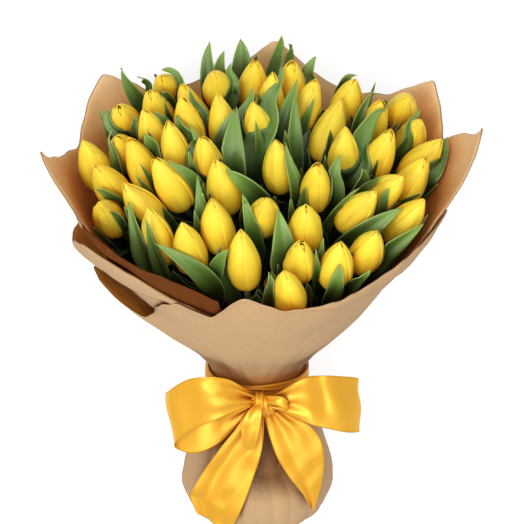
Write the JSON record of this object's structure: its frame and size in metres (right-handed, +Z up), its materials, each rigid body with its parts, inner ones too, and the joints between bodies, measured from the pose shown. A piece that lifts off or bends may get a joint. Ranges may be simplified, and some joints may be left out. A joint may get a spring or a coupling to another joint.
{
  "type": "bunch of tulips",
  "caption": "Bunch of tulips in bud with strap leaves, wrapped in sheets of brown paper and tied with a wide satin ribbon bow, lying on its back.",
  "frame": {"origin": "on the surface that the bunch lies on, under the middle of its outline", "axes": "+Y runs from the cut stems towards the blooms, +Z is up and faces the front of the bunch with its bow, +X runs across to the right"},
  "size_m": [0.3866, 0.4716, 0.2848],
  "materials": {
    "petal": "satin petals",
    "leaf": "waxy leaves and stems",
    "kraft_paper": "matte",
    "satin": "satin sheen",
    "twine": "matte"
  },
  "bodies": {
    "root": {"bloom_01": "petal", "bloom_02": "petal", "bloom_03": "petal", "bloom_04": "petal", "bloom_05": "petal", "bloom_06": "petal", "bloom_07": "petal", "bloom_08": "petal", "bloom_09": "petal", "bloom_10": "petal", "bloom_11": "petal", "bloom_12": "petal", "bloom_13": "petal", "bloom_14": "petal", "bloom_15": "petal", "bloom_16": "petal", "bloom_17": "petal", "bloom_18": "petal", "bloom_19": "petal", "bloom_20": "petal", "bloom_21": "petal", "bloom_22": "petal", "bloom_23": "petal", "bloom_24": "petal", "bloom_25": "petal", "bloom_26": "petal", "bloom_27": "petal", "bloom_28": "petal", "bloom_29": "petal", "bloom_30": "petal", "bloom_31": "petal", "bloom_32": "petal", "bloom_33": "petal", "bloom_34": "petal", "bloom_35": "petal", "bloom_36": "petal", "bloom_37": "petal", "bloom_38": "petal", "bloom_39": "petal", "bloom_40": "petal", "bloom_41": "petal", "bloom_42": "petal", "bloom_43": "petal", "bloom_44": "petal", "bloom_45": "petal", "bloom_46": "petal", "bloom_47": "petal", "paper_back": "kraft_paper", "paper_front": "kraft_paper", "paper_side": "kraft_paper", "ribbon": "satin", "stem_tie": "twine", "stems_and_leaves": "leaf"}
  },
  "joints": []
}
